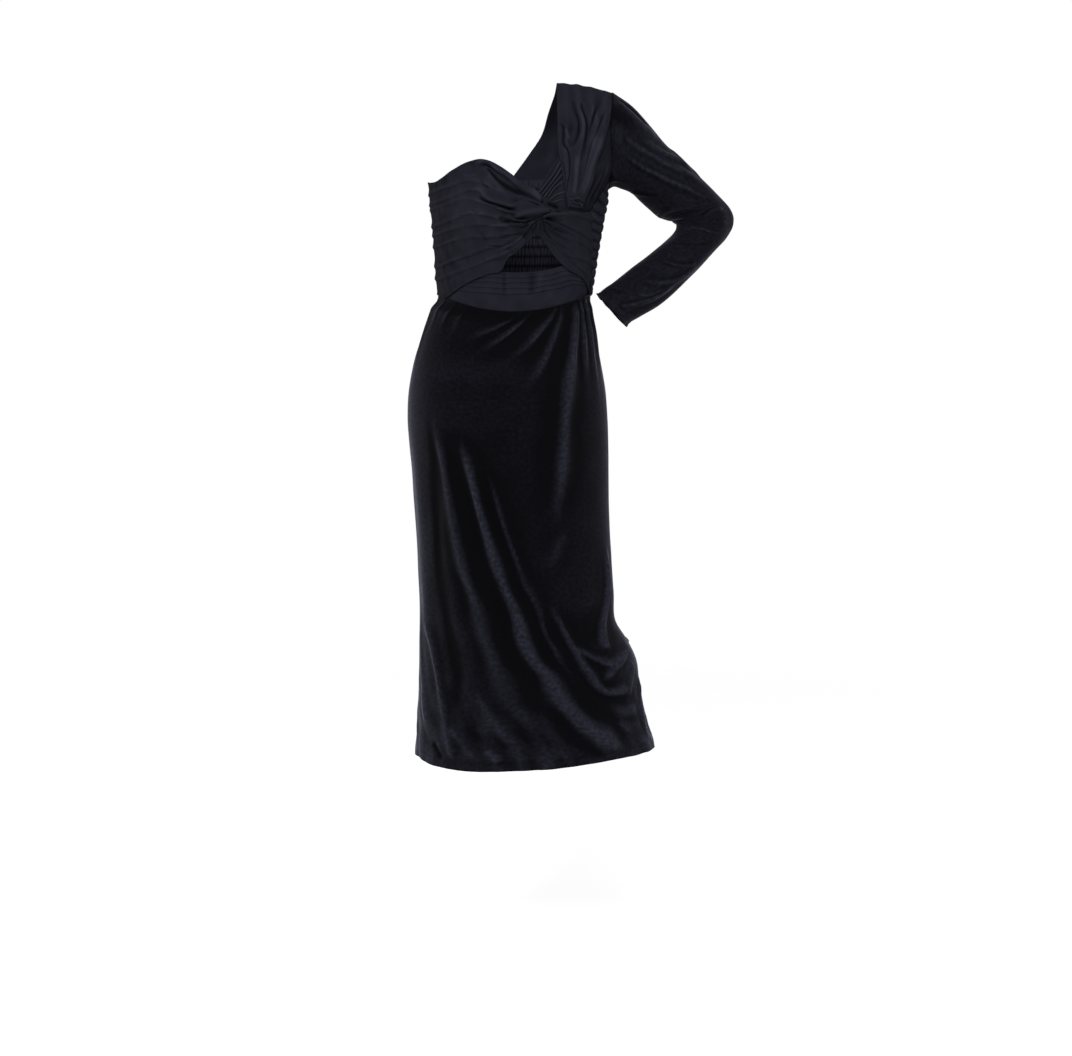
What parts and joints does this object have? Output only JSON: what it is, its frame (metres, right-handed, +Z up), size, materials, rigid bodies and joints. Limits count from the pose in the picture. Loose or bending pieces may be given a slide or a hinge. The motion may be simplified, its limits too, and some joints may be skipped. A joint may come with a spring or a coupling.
{
  "type": "one-shoulder dress",
  "caption": "Hollow worn one-shoulder midi dress: tucked twist-knot bodice with a cutout, draped strap, smocked back, long bent sleeve and slim velvet skirt.",
  "frame": {"origin": "underside of the strap on top of the wearer's left shoulder, where the dress is held up", "axes": "+Z up along the wearer's body, -Y the front of the dress, +X the wearer's left, the side with the sleeve"},
  "size_m": [0.5426, 0.2682, 1.1226],
  "materials": {
    "satin": "matte satin weave, softly lustrous",
    "velvet": "stretch velvet pile, dark with pale sheen on the folds"
  },
  "bodies": {
    "root": {"skirt_front": "velvet", "skirt_back": "velvet", "left_sleeve": "velvet", "front_waistband": "satin", "right_front_drape": "satin", "left_front_drape": "satin", "left_front_cup": "satin", "twist_knot": "satin", "shoulder_drape": "satin", "back_shoulder_panel": "satin", "smocked_back_panel": "satin"}
  },
  "joints": []
}
